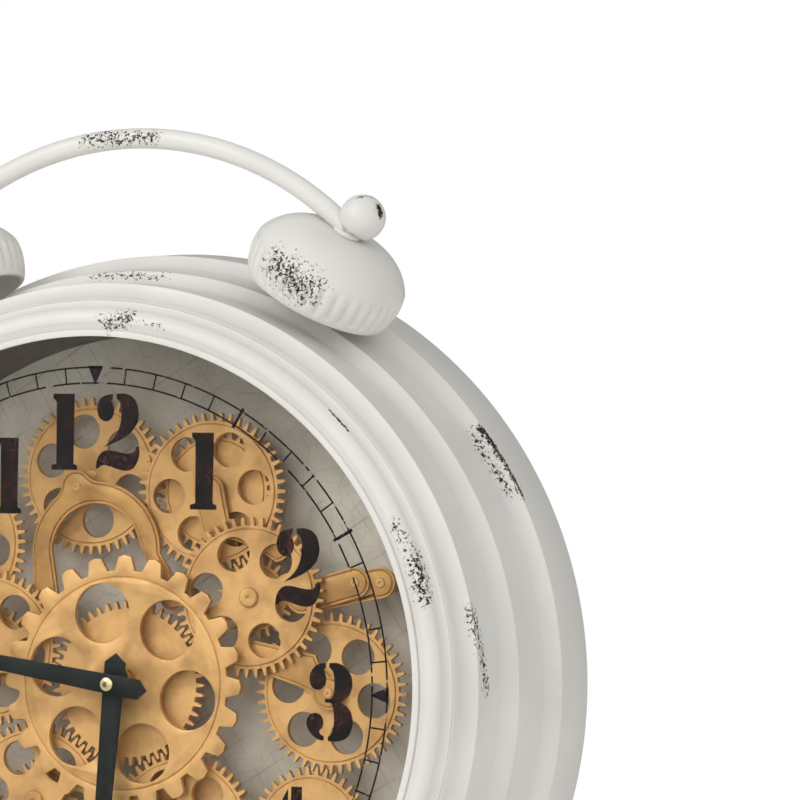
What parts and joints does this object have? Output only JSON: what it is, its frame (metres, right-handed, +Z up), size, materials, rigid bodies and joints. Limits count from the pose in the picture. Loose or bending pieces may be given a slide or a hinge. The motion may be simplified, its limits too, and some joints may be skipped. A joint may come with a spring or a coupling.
{
  "type": "table clock",
  "caption": "Table clock with bells and a carry handle, a stepped round case on legs, and a skeleton gear train that turns behind a printed glass.",
  "frame": {"origin": "on the surface that the clock stands on, under the middle of its width and depth", "axes": "+Z up; the dial faces -Y; +X is to the right of someone who looks at the dial"},
  "size_m": [0.342, 0.0976, 0.4372],
  "materials": {
    "white_paint": "worn satin",
    "clear_glass": "polished",
    "gasket_rubber": "matte",
    "liner_paint": "satin",
    "plate_paint": "matte",
    "gear_gold": "antique",
    "steel": "satin",
    "antique_brass": "antique",
    "hand_black": "matte",
    "black_plastic": "moulded",
    "back_paint": "satin",
    "cell_jacket": "gloss"
  },
  "bodies": {
    "case": {"case_shell": "white_paint", "bezel_ring": "white_paint", "glass_gasket": "gasket_rubber", "front_glass": "clear_glass", "dial_liner": "liner_paint", "dial_plate": "plate_paint", "plate_brackets": "steel", "plate_screws": "steel", "back_cover": "back_paint", "back_screws": "steel", "bells": "white_paint", "bell_posts": "steel", "bell_finials": "white_paint", "carry_handle": "white_paint", "front_legs": "white_paint", "rear_leg": "white_paint", "foot_pads": "gasket_rubber", "stud_nuts": "steel", "gear_axles": "antique_brass", "gear_pillars": "steel", "yoke_plate": "gear_gold", "arm_one": "gear_gold", "arm_three": "gear_gold", "link_plates": "gear_gold", "bridge_pillars": "steel", "centre_sleeve": "steel", "movement_nut": "steel", "movement_case": "black_plastic", "movement_cell": "cell_jacket", "gear_motor": "steel", "battery_box": "black_plastic", "battery_cells": "cell_jacket", "battery_contacts": "steel", "switch_body": "black_plastic"},
    "centre_wheel": {"centre_gear": "gear_gold", "centre_fine_gear": "gear_gold"},
    "wheel_two": {"gear_two": "gear_gold", "gear_two_rear": "gear_gold"},
    "wheel_one": {"gear_one": "gear_gold", "gear_one_rear": "gear_gold"},
    "wheel_twelve": {"gear_twelve": "gear_gold"},
    "wheel_three": {"gear_three": "gear_gold"},
    "wheel_four": {"gear_four": "gear_gold"},
    "wheel_five": {"gear_five": "gear_gold", "gear_five_rear": "gear_gold"},
    "wheel_seven": {"gear_seven": "gear_gold"},
    "wheel_eight": {"gear_eight": "gear_gold", "gear_eight_rear": "gear_gold"},
    "wheel_ten": {"gear_ten": "gear_gold", "gear_ten_rear": "gear_gold"},
    "wheel_eleven": {"gear_eleven": "gear_gold"},
    "motor_drive": {"motor_pinion": "antique_brass"},
    "minute_work": {"minute_hand": "hand_black", "hand_nut": "antique_brass", "minute_arbor": "antique_brass"},
    "hour_work": {"hour_hand": "hand_black", "hour_pipe": "black_plastic"},
    "knob": {"setting_knob": "black_plastic"},
    "lid": {"battery_lid": "black_plastic"},
    "slider": {"switch_slider": "black_plastic"}
  },
  "joints": [
    {"name": "centre_wheel_turn", "type": "hinge", "parent": "case", "child": "centre_wheel", "pos_m": [0, -0.01105, 0.22], "axis": [0, 1, 0], "continuous": true},
    {"name": "wheel_two_turn", "type": "hinge", "parent": "case", "child": "wheel_two", "pos_m": [0.05058, -0.00575, 0.25463], "axis": [0, 1, 0], "continuous": true},
    {"name": "wheel_one_turn", "type": "hinge", "parent": "case", "child": "wheel_one", "pos_m": [0.03119, 0.00075, 0.29529], "axis": [0, 1, 0], "continuous": true},
    {"name": "wheel_twelve_turn", "type": "hinge", "parent": "case", "child": "wheel_twelve", "pos_m": [-0.02234, 0.00525, 0.30073], "axis": [0, 1, 0], "continuous": true},
    {"name": "wheel_three_turn", "type": "hinge", "parent": "case", "child": "wheel_three", "pos_m": [0.0829, 0.00075, 0.21843], "axis": [0, 1, 0], "continuous": true},
    {"name": "wheel_four_turn", "type": "hinge", "parent": "case", "child": "wheel_four", "pos_m": [0.07523, 0.00075, 0.16518], "axis": [0, 1, 0], "continuous": true},
    {"name": "wheel_five_turn", "type": "hinge", "parent": "case", "child": "wheel_five", "pos_m": [0.02395, -0.00575, 0.16357], "axis": [0, 1, 0], "continuous": true},
    {"name": "wheel_seven_turn", "type": "hinge", "parent": "case", "child": "wheel_seven", "pos_m": [-0.07801, 0.00075, 0.15017], "axis": [0, 1, 0], "continuous": true},
    {"name": "wheel_eight_turn", "type": "hinge", "parent": "case", "child": "wheel_eight", "pos_m": [-0.03899, -0.00575, 0.1727], "axis": [0, 1, 0], "continuous": true},
    {"name": "wheel_ten_turn", "type": "hinge", "parent": "case", "child": "wheel_ten", "pos_m": [-0.06007, -0.00575, 0.23222], "axis": [0, 1, 0], "continuous": true},
    {"name": "wheel_eleven_turn", "type": "hinge", "parent": "case", "child": "wheel_eleven", "pos_m": [-0.07918, 0.00075, 0.27302], "axis": [0, 1, 0], "continuous": true},
    {"name": "motor_drive_turn", "type": "hinge", "parent": "case", "child": "motor_drive", "pos_m": [-0.07801, 0.00075, 0.19022], "axis": [0, 1, 0], "continuous": true},
    {"name": "minute_hand_turn", "type": "hinge", "parent": "case", "child": "minute_work", "pos_m": [0, -0.02365, 0.22], "axis": [0, 1, 0], "continuous": true},
    {"name": "hour_hand_turn", "type": "hinge", "parent": "case", "child": "hour_work", "pos_m": [0, -0.01965, 0.22], "axis": [0, 1, 0], "continuous": true},
    {"name": "setting_knob_turn", "type": "hinge", "parent": "case", "child": "knob", "pos_m": [0.009, 0.03575, 0.22], "axis": [0, 1, 0], "continuous": true},
    {"name": "battery_lid_slide", "type": "slide", "parent": "case", "child": "lid", "axis": [0, 0, -1], "range_m": [0, 0.04]},
    {"name": "switch_slide", "type": "slide", "parent": "case", "child": "slider", "axis": [1, 0, 0], "range_m": [0, 0.0054]}
  ],
  "couplings": [
    {"joint": "wheel_two_turn", "follows": "centre_wheel_turn", "ratio": -1.0417},
    {"joint": "wheel_one_turn", "follows": "centre_wheel_turn", "ratio": 0.52083},
    {"joint": "wheel_twelve_turn", "follows": "centre_wheel_turn", "ratio": -0.41233},
    {"joint": "wheel_three_turn", "follows": "centre_wheel_turn", "ratio": -0.95486},
    {"joint": "wheel_four_turn", "follows": "centre_wheel_turn", "ratio": 1.2061},
    {"joint": "wheel_five_turn", "follows": "centre_wheel_turn", "ratio": -1.0417},
    {"joint": "wheel_seven_turn", "follows": "centre_wheel_turn", "ratio": 0.52083},
    {"joint": "wheel_eight_turn", "follows": "centre_wheel_turn", "ratio": -1.0417},
    {"joint": "wheel_ten_turn", "follows": "centre_wheel_turn", "ratio": -1.0417},
    {"joint": "wheel_eleven_turn", "follows": "centre_wheel_turn", "ratio": 0.52083},
    {"joint": "motor_drive_turn", "follows": "centre_wheel_turn", "ratio": -1.5625},
    {"joint": "hour_hand_turn", "follows": "minute_hand_turn", "ratio": 0.083333},
    {"joint": "setting_knob_turn", "follows": "minute_hand_turn", "ratio": -3}
  ]
}
